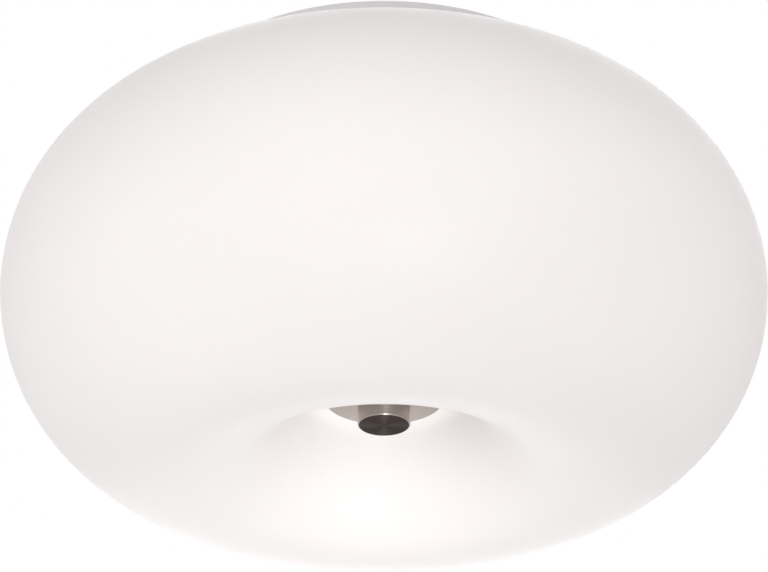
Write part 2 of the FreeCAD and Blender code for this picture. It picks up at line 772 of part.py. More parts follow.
def bulb_cap(angle):
    """The screw cap: a rolled thread drawn as rings, then a plain skirt."""
    start = bulb_start + TIP_T + INSULATOR_L
    middle_r = CAP_THREAD_R - CAP_THREAD_DEPTH / 2
    quarter = CAP_PITCH / 4
    edges = []
    for i in range(CAP_TURNS):
        base = start + i * CAP_PITCH
        mid = at(middle_r, base + 2 * quarter)
        edges.append(Part.Arc(at(middle_r, base), at(CAP_THREAD_R, base + quarter), mid).toShape())
        valley = at(CAP_THREAD_R - CAP_THREAD_DEPTH, base + 3 * quarter)
        edges.append(Part.Arc(mid, valley, at(middle_r, base + CAP_PITCH)).toShape())
    skirt = start + CAP_TURNS * CAP_PITCH
    seat_r = BULB_NECK_R + FIT
    bore_r = CAP_THREAD_R - CAP_THREAD_DEPTH - CAP_WALL
    corners = [
        at(middle_r, skirt), at(CAP_THREAD_R, skirt + CAP_SKIRT_STEP),
        at(CAP_THREAD_R, skirt + CAP_SKIRT_L),
        at(seat_r, skirt + CAP_SKIRT_L), at(seat_r, skirt - FIT), at(bore_r, skirt - FIT),
        at(bore_r, start), at(middle_r, start),
    ]
    edges += [Part.LineSegment(a, b).toShape() for a, b in zip(corners, corners[1:])]
    return on_holder(turned_edges(edges), angle)


def bulb_insulator(angle):
    """The dark glass insulator in the end of the cap."""
    start = bulb_start + TIP_T
    end = start + INSULATOR_L
    plug_r = CAP_THREAD_R - CAP_THREAD_DEPTH - CAP_WALL - FIT
    plug_start = end - INSULATOR_PLUG_OUT
    plug_end = plug_start + INSULATOR_PLUG_L
    return on_holder(turned([
        (0, start), (INSULATOR_END_R, start, TIP_ROUND),
        (plug_r, plug_start), (plug_r, plug_end), (0, plug_end),
    ]), angle)


def bulb_tip(angle):
    """The solder contact on the bulb's end."""
    end = bulb_start + TIP_T
    outer = [(TIP_R, bulb_start, TIP_ROUND), (TIP_R, end)]
    return on_holder(turned([(0, bulb_start)] + outer + [(0, end)]), angle)


# ---------------------------------------------------------------- terminals
def block_screw_places():
    return [(x, block_y + side * BLOCK_SCREW_SPREAD) for x in pole_x for side in (-1, 1)]


def terminal_block():
    low = floor_under - BLOCK_BASE_H
    tower_low = floor_under - block_h
    shape = Part.makeBox(block_l, BLOCK_W, BLOCK_BASE_H, Vector(-block_l / 2, block_near_y, low))
    upright = [e for e in shape.Edges if abs(e.BoundBox.ZLength - BLOCK_BASE_H) < 1e-6]
    shape = shape.makeFillet(BLOCK_ROUND, upright)
    cutters = []
    for x, y in block_screw_places():
        shape = shape.fuse(cylinder(TOWER_R, TOWER_H + TOWER_FOOT, x, y, tower_low))
        cutters.append(cylinder(BLOCK_SCREW_R + FIT, clamp_z - tower_low + PAST, x, y, tower_low - PAST))
    along_y = Vector(0, 1, 0)
    for x in pole_x:
        cutters.append(cylinder(CLAMP_R + FIT, BLOCK_W + 2 * PAST, x, block_near_y - PAST, clamp_z, along_y))
    fx, fy = block_fix_place()
    cutters.append(cylinder(BLOCK_FIX_R + FIT, block_h + 2 * PAST, fx, fy, tower_low - PAST))
    return shape.cut(cutters).removeSplitter()


def terminal_clamps():
    """Brass tubes that the screws close on the wires."""
    clamps = []
    along_y = Vector(0, 1, 0)
    deep = CLAMP_R + PAST
    for x in pole_x:
        y = block_y - CLAMP_L / 2
        shape = cylinder(CLAMP_R, CLAMP_L, x, y, clamp_z, along_y)
        shape = shape.cut(cylinder(CLAMP_BORE_R, CLAMP_L + 2 * PAST, x, y - PAST, clamp_z, along_y))
        for side in (-1, 1):
            sy = block_y + side * BLOCK_SCREW_SPREAD
            shape = shape.cut(cylinder(BLOCK_SCREW_R + FIT, deep, x, sy, clamp_z - deep))
        clamps.append(shape)
    return Part.makeCompound(clamps)


def terminal_screws():
    """Slotted grub screws, sunk a little in the block's towers."""
    reach = block_h - CLAMP_DROP - WIRE_R - BLOCK_SCREW_BITE - BLOCK_SCREW_SINK
    point = BLOCK_SCREW_R - SCREW_POINT
    sides = [(BLOCK_SCREW_R, 0), (BLOCK_SCREW_R, reach - SCREW_POINT), (point, reach)]
    shape = turned([(0, 0)] + sides + [(0, reach)])
    shape = shape.cut(slot_box(BLOCK_SCREW_R + PAST, -PAST, BLOCK_SCREW_SLOT))
    low = floor_under - block_h + BLOCK_SCREW_SINK
    return Part.makeCompound([moved(shape, x, y, low) for x, y in block_screw_places()])


def block_fixing_screw():
    x, y = block_fix_place()
    length = BLOCK_BASE_H + PAN_SHEET + BLOCK_FIX_OVER
    shape = slotted_screw(BLOCK_FIX_R, length, BLOCK_FIX_HEAD_R, BLOCK_FIX_HEAD_T)
    return moved(shape, x, y, floor_under - BLOCK_BASE_H)


def earth_screw():
    low = floor_under - LUG_T - EARTH_WASHER_T
    length = LUG_T + EARTH_WASHER_T + PAN_SHEET + EARTH_SCREW_OVER
    shape = slotted_screw(EARTH_SCREW_R, length, EARTH_HEAD_R, EARTH_HEAD_T)
    return moved(shape, earth_x, earth_y, low)


def earth_washer():
    """A toothed washer between the screw's head and the lug."""
    high = floor_under - LUG_T
    low = high - EARTH_WASHER_T
    bore = EARTH_SCREW_R + FIT
    shape = turned([(bore, low), (EARTH_WASHER_R, low), (EARTH_WASHER_R, high), (bore, high)])
    notches = []
    corner = Vector(EARTH_WASHER_R - EARTH_TOOTH_GAP_L, -EARTH_TOOTH_GAP_W / 2, low - PAST)
    for i in range(EARTH_TEETH):
        size = (EARTH_TOOTH_GAP_L + PAST, EARTH_TOOTH_GAP_W, EARTH_WASHER_T + 2 * PAST)
        notches.append(spun(Part.makeBox(*size, corner), 360 * i / EARTH_TEETH))
    return moved(shape.cut(notches), earth_x, earth_y, 0)


def earth_lug():
    """A ring lug: the ring is under the washer, the barrel grips the earth wire."""
    low = floor_under - LUG_T
    neck_l = LUG_RING_R + LUG_NECK_L
    along_y = Vector(0, 1, 0)
    ring = cylinder(LUG_RING_R, LUG_T, z=low)
    neck = Part.makeBox(2 * LUG_BARREL_R, neck_l, LUG_T, Vector(-LUG_BARREL_R, -neck_l, low))
    shape = ring.fuse(neck).cut(cylinder(EARTH_SCREW_R + FIT, LUG_T + 2 * PAST, z=low - PAST))
    barrel = cylinder(LUG_BARREL_R, LUG_BARREL_L, 0, lug_start_y, lug_axis_z, along_y)
    deep = LUG_WIRE_L + FIT + PAST
    bore = cylinder(WIRE_R + FIT, deep, 0, lug_start_y - PAST, lug_axis_z, along_y)
    shape = shape.fuse(barrel).cut(bore).removeSplitter()
    return moved(shape, earth_x, earth_y, 0)


# ---------------------------------------------------------------- wires
def holder_wire_point(side, angle, z):
    """A point above one terminal hole of a lampholder."""
    point = Vector(holder_x + HOLDER_BASE_L / 2, holder_y + side * WIRE_SPREAD, z)
    return FreeCAD.Rotation(Vector(0, 0, 1), angle).multVec(point)


def clamp_entry(x, bend_y):
    """The last two points of a wire that turns into a clamp."""
    return [Vector(x, bend_y, clamp_z), Vector(x, block_near_y + WIRE_IN_CLAMP, clamp_z)]


def left_wire(side, x, bend_y):
    """From the left lampholder, beside the bridge, into a clamp."""
    start = holder_wire_point(side, 0, wire_start_z)
    top = holder_wire_point(side, 0, clamp_z)
    swing = Vector(top.x + WIRE_SWING, bend_y, clamp_z)
    return tube([start, top, swing] + clamp_entry(x, bend_y), WIRE_R)


def live_wire_left():
    return left_wire(1, pole_x[0] - WIRE_PAIR, BRIDGE_W / 2 + LIVE_LEFT_LANE)


def neutral_wire_left():
    return left_wire(-1, pole_x[1] - WIRE_PAIR, BRIDGE_W / 2 + NEUTRAL_LEFT_LANE)


def live_wire_right():
    """From the right lampholder, a step lower than the others until it is past them."""
    low = clamp_z - WIRE_LEVEL_STEP
    x = pole_x[0] + WIRE_PAIR
    y = BRIDGE_W / 2 + LIVE_RIGHT_LANE
    start = holder_wire_point(-1, 180, wire_start_z)
    top = holder_wire_point(-1, 180, low)
    swing = Vector(top.x - WIRE_RIGHT_SWING, y, low)
    climb = [Vector(x, y, low), Vector(x, y + WIRE_CLIMB, clamp_z)]
    end = Vector(x, block_near_y + WIRE_IN_CLAMP, clamp_z)
    return tube([start, top, swing] + climb + [end], WIRE_R)


def neutral_wire_right():
    y = BRIDGE_W / 2 + NEUTRAL_RIGHT_LANE
    start = holder_wire_point(1, 180, wire_start_z)
    top = holder_wire_point(1, 180, clamp_z)
    points = [start, top, Vector(top.x, y, clamp_z)] + clamp_entry(pole_x[1] + WIRE_PAIR, y)
    return tube(points, WIRE_R)


def earth_wire():
    """From the last clamp round to the lug."""
    y = BRIDGE_W / 2 + EARTH_LANE
    points = list(reversed(clamp_entry(pole_x[2], y)))
    points.append(Vector(earth_x, y, lug_axis_z))
    points.append(Vector(earth_x, earth_y + lug_start_y + LUG_WIRE_L, lug_axis_z))
    return tube(points, WIRE_R)


# ---------------------------------------------------------------- build
def pieces():
    """Every node's name and shape."""
    made = {
        "ceiling_pan": pan(),
        "cable_grommet": grommet(),
        "rim_gasket": gasket(),
        "rod_bridge": bridge(),
        "bridge_rivets": bridge_rivets(),
        "threaded_rod": rod(),
        "rod_nuts": rod_nuts(),
        "rod_washer": rod_washer(),
        "bracket_rivets": bracket_rivets(),
        "lampholder_screws": holder_screws(),
        "terminal_block": terminal_block(),
        "terminal_clamps": terminal_clamps(),
        "terminal_screws": terminal_screws(),
        "terminal_block_screw": block_fixing_screw(),
        "earth_screw": earth_screw(),
        "earth_washer": earth_washer(),
        "earth_lug": earth_lug(),
        "earth_wire": earth_wire(),
        "live_wire_left": live_wire_left(),
        "live_wire_right": live_wire_right(),
        "neutral_wire_left": neutral_wire_left(),
        "neutral_wire_right": neutral_wire_right(),
        "glass_shade": glass(),
        "glass_bush": bush(),
        "retaining_disc": disc(),
        "knob": knob(),
    }
    for side, angle in SIDES.items():
        made["lampholder_bracket_" + side] = holder_bracket(angle)
        made["lampholder_body_" + side] = holder_body(angle)
        made["lampholder_shell_" + side] = screw_shell(angle)
        made["lampholder_contact_" + side] = centre_contact(angle)
        made["bulb_glass_" + side] = bulb_glass(angle)
        made["bulb_cap_" + side] = bulb_cap(angle)
        made["bulb_insulator_" + side] = bulb_insulator(angle)
        made["bulb_tip_" + side] = bulb_tip(angle)
    return made


def main():
    os.makedirs("parts", exist_ok=True)
    for name, shape in pieces().items():
        print(name, "solids", len(shape.Solids), "valid", shape.isValid(), "volume", round(shape.Volume, 1))
        shape.exportStep("parts/" + name + ".step")


main()
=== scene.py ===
import math

import bmesh
import bpy
from bpy.props import FloatProperty, FloatVectorProperty, IntProperty, PointerProperty
from mathutils import Matrix, Vector


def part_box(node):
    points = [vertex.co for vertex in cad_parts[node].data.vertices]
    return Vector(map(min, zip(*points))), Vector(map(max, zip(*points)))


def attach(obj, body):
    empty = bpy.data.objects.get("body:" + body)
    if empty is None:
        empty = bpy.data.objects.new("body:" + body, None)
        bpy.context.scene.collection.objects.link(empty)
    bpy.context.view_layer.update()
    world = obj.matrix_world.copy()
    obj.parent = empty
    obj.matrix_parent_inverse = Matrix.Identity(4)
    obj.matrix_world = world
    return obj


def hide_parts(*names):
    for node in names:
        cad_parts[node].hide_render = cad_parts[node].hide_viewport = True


bl_info = {
    "name": "Opal Glass Ceiling Light",
    "version": (1, 0, 0),
    "blender": (4, 5, 0),
    "location": "View3D > Sidebar > Ceiling Light",
    "description": "Dresses the ceiling light: glass, metal, lampholders, bulbs, wiring and studio",
    "category": "Object",
}

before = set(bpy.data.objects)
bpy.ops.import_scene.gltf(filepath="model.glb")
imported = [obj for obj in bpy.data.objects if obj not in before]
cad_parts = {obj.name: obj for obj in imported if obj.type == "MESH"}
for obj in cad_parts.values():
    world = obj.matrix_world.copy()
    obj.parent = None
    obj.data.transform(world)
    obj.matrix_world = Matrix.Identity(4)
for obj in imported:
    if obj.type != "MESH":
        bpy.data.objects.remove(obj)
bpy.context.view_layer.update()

MM = 0.001
WHITE = (1.0, 1.0, 1.0, 1.0)
SIDES = ("left", "right")


def size(name, description, default):
    """A length that a user may change, in metres."""
    return FloatProperty(
        name=name, description=description, default=default, unit="LENGTH", precision=5
    )


def colour(name, description, default):
    """A linear colour that a user may change."""
    return FloatVectorProperty(
        name=name, description=description, default=default,
        subtype="COLOR", size=3, min=0.0, max=1.0,
    )


def power(name, description, default):
    """A lamp's power that a user may change, in watts."""
    return FloatProperty(name=name, description=description, default=default, min=0.0, unit="POWER")


def tilt(name, description, degrees):
    """A slope that a user may change, set in degrees."""
    return FloatProperty(
        name=name, description=description, default=math.radians(degrees), subtype="ANGLE"
    )


def portion(name, description, default):
    """A share between nothing and one that a user may change."""
    return FloatProperty(name=name, description=description, default=default, min=0.0, max=1.0)


def reach(node):
    """How far a turned CAD node stands out from the rod's axis."""
    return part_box(node)[1].x


# ---------------------------------------------------------------- sizes and colours
class ShadeSizes(bpy.types.PropertyGroup):
    radius: size("Outer radius", "Half the width of the glass shade", reach("glass_shade"))
    across: size("Section width", "Half width of the ring section", 77.8 * MM)
    up: size("Section rise", "Height of the ring section over the widest line", 73.8 * MM)
    down: size("Section drop", "Depth of the ring section under the widest line", 75.3 * MM)
    wall: size("Wall", "Thickness of the glass", 3.5 * MM)
    collar: size("Collar radius", "Outer radius of the short collar under the pan", 69.5 * MM)
    rim: size("Rim height", "Height of the collar's rim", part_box("glass_shade")[1].z)
    rim_round: size("Rim rounding", "Radius of the fire-polished rim", 1.0 * MM)
    collar_bend: size("Collar bend", "Radius between the collar and the shoulder", 2.5 * MM)
    equator: size("Widest line", "Height of the shade's widest line", -82.0 * MM)
    seat: size("Seat height", "Height of the flat seat in the dimple", -120.1 * MM)
    seat_radius: size("Seat radius", "Radius of the flat seat in the dimple", 22.65 * MM)
    seat_fillet: size("Seat fillet", "Radius between the seat and the funnel", 8.0 * MM)
    hole: size("Hole radius", "Radius of the hole for the rod", 8.0 * MM)
    hole_round: size("Hole rounding", "Radius of the ground edge of the hole", 0.5 * MM)
    roll_slope: tilt("Roll slope", "Slope where the roll under the glass starts", 28.0)
    funnel_slope: tilt("Funnel slope", "Slope of the funnel's straight side", 59.0)


class KnobSizes(bpy.types.PropertyGroup):
    radius: size("Knob radius", "Outer radius of the turned knob", reach("knob"))
    chamfer: size("Chamfer", "Width of the bright chamfer round the knob's end", 0.4 * MM)
    bore: size("Bore radius", "Radius of the blind bore for the rod", 5.05 * MM)
    end_wall: size("End wall", "Metal left between the bore and the end face", 1.8 * MM)
    centre_mark: size("Centre mark", "Radius of the small mark that the lathe leaves", 0.35 * MM)
    disc_radius: size("Disc radius", "Outer radius of the nickel disc", reach("retaining_disc"))
    disc_bore: size("Disc bore", "Radius of the hole in the disc", 5.4 * MM)
    disc_edge: size("Disc edge", "Rounding of the disc's edge", 0.25 * MM)


class RodSizes(bpy.types.PropertyGroup):
    radius: size("Rod radius", "Radius over the rod's thread", reach("threaded_rod"))
    pitch: size("Pitch", "Pitch of the rod's thread", 1.0 * MM)
    depth: size("Thread depth", "Depth of the rod's thread", 0.6 * MM)
    chamfer: size("End chamfer", "Chamfer at the rod's ends", 0.7 * MM)


class BulbSizes(bpy.types.PropertyGroup):
    neck: size("Neck radius", "Radius of the bulb's neck", 12.5 * MM)
    neck_length: size("Neck length", "Straight length of the neck from the cap's thread", 7.0 * MM)
    wall: size("Glass wall", "Thickness of the bulb's glass", 0.8 * MM)
    cap_radius: size("Cap radius", "Radius over the screw cap's thread", 13.1 * MM)
    cap_depth: size("Cap thread depth", "Depth of the rolled thread", 0.8 * MM)
    cap_pitch: size("Cap pitch", "Pitch of the rolled thread", 3.63 * MM)
    cap_turns: IntProperty(
        name="Cap turns", description="Turns of the rolled thread", default=5, min=1
    )
    cap_skirt: size("Cap skirt", "Length of the plain skirt over the neck", 4.85 * MM)
    shell_wave: size("Shell wave", "Depth of the thread in the lampholder's sleeve", 0.3 * MM)
    shell_sheet: size("Shell sheet", "Thickness of the lampholder's sleeve", 0.3 * MM)


class FinishColours(bpy.types.PropertyGroup):
    opal: colour("Opal glass", "Satin white glass of the shade", (0.912, 0.872, 0.863))
    nickel: colour("Satin nickel", "Disc and the knob's chamfer", (0.54, 0.485, 0.445))
    # The knob side's tone is a shaded copy of the satin nickel, a little darker than the chamfer:
    # painted shade.
    knob_side: colour("Knob side", "Brushed side of the knob", (0.50, 0.445, 0.415))
    # The knob face's near-black tone is a painted reflection: a dark room seen in the spun nickel,
    # painted into the colour of the same metal as the chamfer.
    knob_face: colour("Knob face", "Dark spun end face of the knob", (0.055, 0.038, 0.033))
    enamel: colour("White enamel", "Powder coat of the pan", (0.74, 0.71, 0.74))
    zinc: colour("Zinc plate", "Bridge, brackets, rod and screws", (0.64, 0.655, 0.67))
    brass: colour("Brass", "Sleeves, contacts and clamps", (0.78, 0.56, 0.27))
    porcelain: colour("Porcelain", "Lampholder bodies", (0.84, 0.83, 0.79))
    green: colour("Green core", "Earth wire", (0.06, 0.33, 0.09))
    brown: colour("Brown core", "Live wires", (0.15, 0.055, 0.022))
    blue: colour("Blue core", "Neutral wires", (0.025, 0.11, 0.42))


class StageSettings(bpy.types.PropertyGroup):
    left_power: power("Left lamp", "Power of the soft lamp on the left", 9.5)
    left_front_power: power("Left front lamp", "Power of the lamp over the camera on the left", 5.2)
    right_power: power("Right lamp", "Power of the lamp over the camera on the right", 9.4)
    front_power: power("Front lamp", "Power of the soft lamp low in front", 15.2)
    low_power: power("Low lamp", "Power of the lamp low behind the light", 5.8)
    back_power: power("Back lamp", "Power of the lamp behind the light", 6.0)
    top_power: power("Top lamp", "Power of the lamp over the pan", 6.0)
    dimple_power: power("Dimple lamp", "Power of the narrow lamp that shines up the dimple", 32.0)
    slope_power: power("Slope lamp", "Power of the narrow lamp for the dimple's far side", 8.0)
    knob_power: power("Knob lamp", "Power of the narrow lamp for the knob's end face", 14.0)
    ambient: portion("Room light", "Even light from all round", 0.515)
    floor_white: portion("Floor white", "Plain white in the floor where it is background", 0.25)
    floor_height: size("Floor height", "Height of the floor under the ceiling", -3.0)
    lens: FloatProperty(
        name="Lens", description="Focal length of the camera", default=166.2, unit="CAMERA"
    )


# ---------------------------------------------------------------- outlines
# Straight steps that stand for each kind of curve
OVAL_STEPS = 48
ROLL_STEPS = 40
FILLET_STEPS = 14
NECK_STEPS = 16
BEND_STEPS = 8
ROUND_STEPS = 6
EDGE_STEPS = 5


def oval(centre, across, rise, start, end, steps):
    """Points (r, z) of an oval's arc between two angles."""
    points = []
    for step in range(steps + 1):
        angle = start + (end - start) * step / steps
        points.append((centre[0] + across * math.cos(angle), centre[1] + rise * math.sin(angle)))
    return points


def arc(centre, radius, start, end, steps):
    """Points (r, z) of a circle's arc between two angles."""
    return oval(centre, radius, radius, start, end, steps)


def straight(start, end, steps):
    """Evenly spaced points (r, z) of a straight side, without its first."""
    (r, z), (far_r, far_z) = start, end
    return [
        (r + (far_r - r) * step / steps, z + (far_z - z) * step / steps)
        for step in range(1, steps + 1)
    ]


def rounded(before, corner, after, radius, steps=ROUND_STEPS):
    """Points of the arc that rounds a corner between two straight sides."""
    corner = Vector(corner)
    to_before = (Vector(before) - corner).normalized()
    to_after = (Vector(after) - corner).normalized()
    half = to_before.angle(to_after) / 2
    start = corner + to_before * (radius / math.tan(half))
    end = corner + to_after * (radius / math.tan(half))
    centre = corner + (to_before + to_after).normalized() * (radius / math.sin(half))
    points = []
    for step in range(steps + 1):
        spoke = (start - centre).lerp(end - centre, step / steps).normalized() * radius
        points.append(tuple(centre + spoke))
    return points


def turned_outline(corners, steps=EDGE_STEPS):
    """A closed outline from (r, z) or (r, z, rounding) corners."""
    points = []
    for index, corner in enumerate(corners):
        if len(corner) == 2:
            points.append(corner)
            continue
        before = corners[index - 1][:2]
        after = corners[(index + 1) % len(corners)][:2]
        points += rounded(before, corner[:2], after, corner[2], steps)
    return points


# ---------------------------------------------------------------- meshes
# Points round a turned piece, and the angle in degrees past which an edge stays sharp
GLASS_ROUND = 192
METAL_ROUND = 160
PLAIN_ROUND = 96
ROD_ROUND = 40
SHARP = 35.0
ON_AXIS = 1e-7


def skin(build, low, high):
    """Faces between two rings of points; a ring of one point is a pole."""
    count = max(len(low), len(high))
    if len(low) == 1 and len(high) == 1:
        return
    for i in range(count):
        j = (i + 1) % count
        if len(low) == 1:
            build.faces.new((low[0], high[j], high[i]))
        elif len(high) == 1:
            build.faces.new((low[i], low[j], high[0]))
        else:
            build.faces.new((low[i], low[j], high[j], high[i]))


def skinned(name, rows, closed, crease=SHARP):
    """An object skinned over rows of points, with its sharp edges kept."""
    build = bmesh.new()
    rings = [[build.verts.new(point) for point in row] for row in rows]
    for low, high in zip(rings, rings[1:]):
        skin(build, low, high)
    if closed:
        skin(build, rings[-1], rings[0])
    bmesh.ops.recalc_face_normals(build, faces=build.faces)
    mesh = bpy.data.meshes.new(name)
    build.to_mesh(mesh)
    build.free()
    mesh.polygons.foreach_set("use_smooth", [True] * len(mesh.polygons))
    mesh.set_sharp_from_angle(angle=math.radians(crease))
    piece = bpy.data.objects.new(name, mesh)
    bpy.context.scene.collection.objects.link(piece)
    return piece


def ring(radius, height, columns):
    """A ring of points round the Z axis, or one point on it."""
    if radius < ON_AXIS:
        return [(0.0, 0.0, height)]
    turns = [math.tau * column / columns for column in range(columns)]
    return [(radius * math.cos(turn), radius * math.sin(turn), height) for turn in turns]


def spun(name, outline, columns=PLAIN_ROUND, closed=True, crease=SHARP):
    """A piece turned about the Z axis from its outline."""
    return skinned(name, [ring(r, z, columns) for r, z in outline], closed, crease)


def thread_rows(start, end, pitch, columns, steps, radius_at):
    """Rows of points up a helical thread, with this many steps to a turn of it.

    radius_at takes the place in the turn and the height.
    """
    count = round((end - start) / pitch * steps)
    rows = []
    for i in range(count + 1):
        height = start + (end - start) * i / count
        row = []
        for column in range(columns):
            turn = (height / pitch - column / columns) % 1.0
            radius = radius_at(turn, height)
            angle = math.tau * column / columns
            row.append((radius * math.cos(angle), radius * math.sin(angle), height))
        rows.append(row)
    return rows


def lay_in_holder(piece, node, side):
    """Lays a piece made up the Z axis where a lampholder's or bulb's CAD node is."""
    low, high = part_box(node)
    middle = (low + high) / 2
    start, turn = (low.x, math.pi / 2) if side == "left" else (high.x, -math.pi / 2)
    place = Matrix.Translation((start, middle.y, middle.z))
    piece.data.transform(place @ Matrix.Rotation(turn, 4, "Y"))


def install(piece, body, slot, finish, *nodes):
    """Gives a piece its finish, its CAD body and the nodes that it stands for."""
    piece.data.materials.append(finish)
    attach(piece, body)
    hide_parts(*nodes)


def refinish(finish, *nodes):
    """Gives CAD nodes that keep their shape a better finish."""
    for node in nodes:
        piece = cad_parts[node]
        if not piece.material_slots:
            piece.data.materials.append(finish)
        for slot in piece.material_slots:
            slot.material = finish


# ---------------------------------------------------------------- finishes
# The Mix node's colour sockets: two to blend, and the result
FIRST, SECOND, BLENDED = 6, 7, 2


class Finish:
    """A material being built: its node tree, its shader and a few short ways to add nodes."""

    def __init__(self, name, roughness, metallic=0.0):
        self.material = bpy.data.materials.new(name)
        self.material.use_nodes = True
        self.tree = self.material.node_tree
        self.shader = self.tree.nodes["Principled BSDF"]
        self.shader.inputs["Roughness"].default_value = roughness
        self.shader.inputs["Metallic"].default_value = metallic
        self.place = self.add("ShaderNodeTexCoord").outputs["Object"]
        self.height = None

    def add(self, kind, **settings):
        """A new node with these settings."""
        node = self.tree.nodes.new(kind)
        for key, value in settings.items():
            setattr(node, key, value)
        return node

    def link(self, output, entry):
        """Joins an output to an input."""
        self.tree.links.new(output, entry)

    def noise(self, scale, detail=3.0, place=None, distortion=0.0):
        """Noise, with the scale in features per metre."""
        node = self.add("ShaderNodeTexNoise")
        node.inputs["Scale"].default_value = scale
        node.inputs["Detail"].default_value = detail
        node.inputs["Distortion"].default_value = distortion
        self.link(place or self.place, node.inputs["Vector"])
        return node.outputs["Fac"]

    def spread(self, value, low=0.35, high=0.65, to_low=0.0, to_high=1.0):
        """A value between two limits, taken to two others. The first two suit plain noise."""
        node = self.add("ShaderNodeMapRange")
        node.inputs["From Min"].default_value = low
        node.inputs["From Max"].default_value = high
        node.inputs["To Min"].default_value = to_low
        node.inputs["To Max"].default_value = to_high
        self.link(value, node.inputs["Value"])
        return node.outputs["Result"]

    def blend(self, share, first, second):
        """One colour or the other by share; either may be an output."""
        node = self.add("ShaderNodeMix", data_type="RGBA")
        self.link(share, node.inputs["Factor"])
        for entry, value in ((node.inputs[FIRST], first), (node.inputs[SECOND], second)):
            if isinstance(value, bpy.types.NodeSocket):
                self.link(value, entry)
            else:
                entry.default_value = (*value[:3], 1.0)
        return node.outputs[BLENDED]

    def paint(self, output):
        """Takes the base colour from this output."""
        self.link(output, self.shader.inputs["Base Color"])

    def rough(self, value, low, high):
        """Roughness that wanders between two values."""
        self.link(self.spread(value, 0.3, 0.7, low, high), self.shader.inputs["Roughness"])

    def relief(self, value, depth, strength=1.0):
        """Adds a bump of this depth in metres to those before it."""
        node = self.add("ShaderNodeBump")
        node.inputs["Strength"].default_value = strength
        node.inputs["Distance"].default_value = depth
        self.link(value, node.inputs["Height"])
        if self.height:
            self.link(self.height, node.inputs["Normal"])
        self.height = node.outputs["Normal"]
        self.link(self.height, self.shader.inputs["Normal"])

    def turned_place(self):
        """Coordinates that change only across a lathe's marks: radius and height."""
        split = self.add("ShaderNodeSeparateXYZ")
        self.link(self.place, split.inputs["Vector"])
        flat = self.add("ShaderNodeCombineXYZ")
        self.link(split.outputs["X"], flat.inputs["X"])
        self.link(split.outputs["Y"], flat.inputs["Y"])
        length = self.add("ShaderNodeVectorMath", operation="LENGTH")
        self.link(flat.outputs["Vector"], length.inputs[0])
        join = self.add("ShaderNodeCombineXYZ")
        self.link(length.outputs["Value"], join.inputs["X"])
        self.link(split.outputs["Z"], join.inputs["Z"])
        return join.outputs["Vector"]


def shade_of(tone, factor):
    """The same colour, darker or lighter."""
    return tuple(min(1.0, channel * factor) for channel in tone)


def opal_glass(tone):
    """Satin opal glass: an even white with a faint cloud in its depth and an etched skin."""
    finish = Finish("opal_glass", 0.42)
    shader = finish.shader.inputs
    shader["IOR"].default_value = 1.5
    shader["Specular IOR Level"].default_value = 0.12
    shader["Subsurface Weight"].default_value = 0.15
    shader["Subsurface Radius"].default_value = (1.0, 0.85, 0.8)
    shader["Subsurface Scale"].default_value = 0.004
    cloud = finish.spread(finish.noise(11.0, detail=2.0), 0.3, 0.7)
    finish.paint(finish.blend(cloud, shade_of(tone, 0.975), tone))
    finish.rough(finish.noise(45.0), 0.38, 0.46)
    finish.relief(finish.noise(16.0, detail=1.0), 0.6 * MM, 0.35)
    finish.relief(finish.noise(2600.0, detail=2.0), 0.02 * MM, 0.5)
    return finish.material


def turned_nickel(name, tone, low=0.24, high=0.4, sheen=0.75):
    """Brushed nickel plate with a lathe's fine marks round the axis, rough between two limits."""
    finish = Finish(name, low, 1.0)
    shader = finish.shader.inputs
    shader["Anisotropic"].default_value = sheen
    shader["Anisotropic Rotation"].default_value = 0.25  # a quarter turn: the glare fans out
    around = finish.add("ShaderNodeTangent", direction_type="RADIAL", axis="Z")
    finish.link(around.outputs["Tangent"], shader["Tangent"])
    marks = finish.noise(3800.0, detail=4.0, place=finish.turned_place())
    finish.paint(finish.blend(finish.spread(marks), shade_of(tone, 0.72), tone))
    finish.rough(marks, low, high)
    finish.relief(marks, 0.04 * MM, 0.6)
    return finish.material


def white_enamel(tone):
    """Powder coat with a fine orange-peel skin."""
    finish = Finish("white_enamel", 0.38)
    finish.paint(finish.blend(finish.spread(finish.noise(60.0)), shade_of(tone, 0.97), tone))
    finish.rough(finish.noise(240.0), 0.32, 0.46)
    finish.relief(finish.noise(900.0, detail=2.0), 0.06 * MM, 0.5)
    return finish.material


def zinc_plate(tone):
    """Bright zinc plate with a faint blue and straw bloom."""
    finish = Finish("zinc_plate", 0.36, 1.0)
    bloom = finish.spread(finish.noise(130.0, detail=4.0), 0.38, 0.62)
    warm = (tone[0] * 1.05, tone[1], tone[2] * 0.86)
    finish.paint(finish.blend(bloom, tone, warm))
    finish.rough(finish.noise(420.0, detail=4.0), 0.28, 0.46)
    finish.relief(finish.noise(1500.0), 0.02 * MM, 0.5)
    return finish.material


def plain_brass(tone):
    """Pressed brass, a little dulled."""
    finish = Finish("brass", 0.3, 1.0)
    dull = finish.spread(finish.noise(160.0, detail=4.0), 0.4, 0.66)
    finish.paint(finish.blend(dull, tone, (tone[0] * 0.78, tone[1] * 0.72, tone[2] * 0.7)))
    finish.rough(finish.noise(500.0, detail=4.0), 0.22, 0.42)
    finish.relief(finish.noise(1200.0), 0.02 * MM, 0.5)
    return finish.material


def glazed_porcelain(tone):
    """White porcelain under a clear glaze, with a few dark specks of grit."""
    finish = Finish("glazed_porcelain", 0.3)
    finish.shader.inputs["Coat Weight"].default_value = 0.8
    finish.shader.inputs["Coat Roughness"].default_value = 0.08
    specks = finish.spread(finish.noise(1400.0, detail=0.0), 0.76, 0.8)
    body = finish.blend(finish.spread(finish.noise(50.0)), shade_of(tone, 0.95), tone)
    finish.paint(finish.blend(specks, body, (0.42, 0.36, 0.28)))
    finish.relief(finish.noise(180.0, detail=1.0), 0.1 * MM, 0.35)
    return finish.material


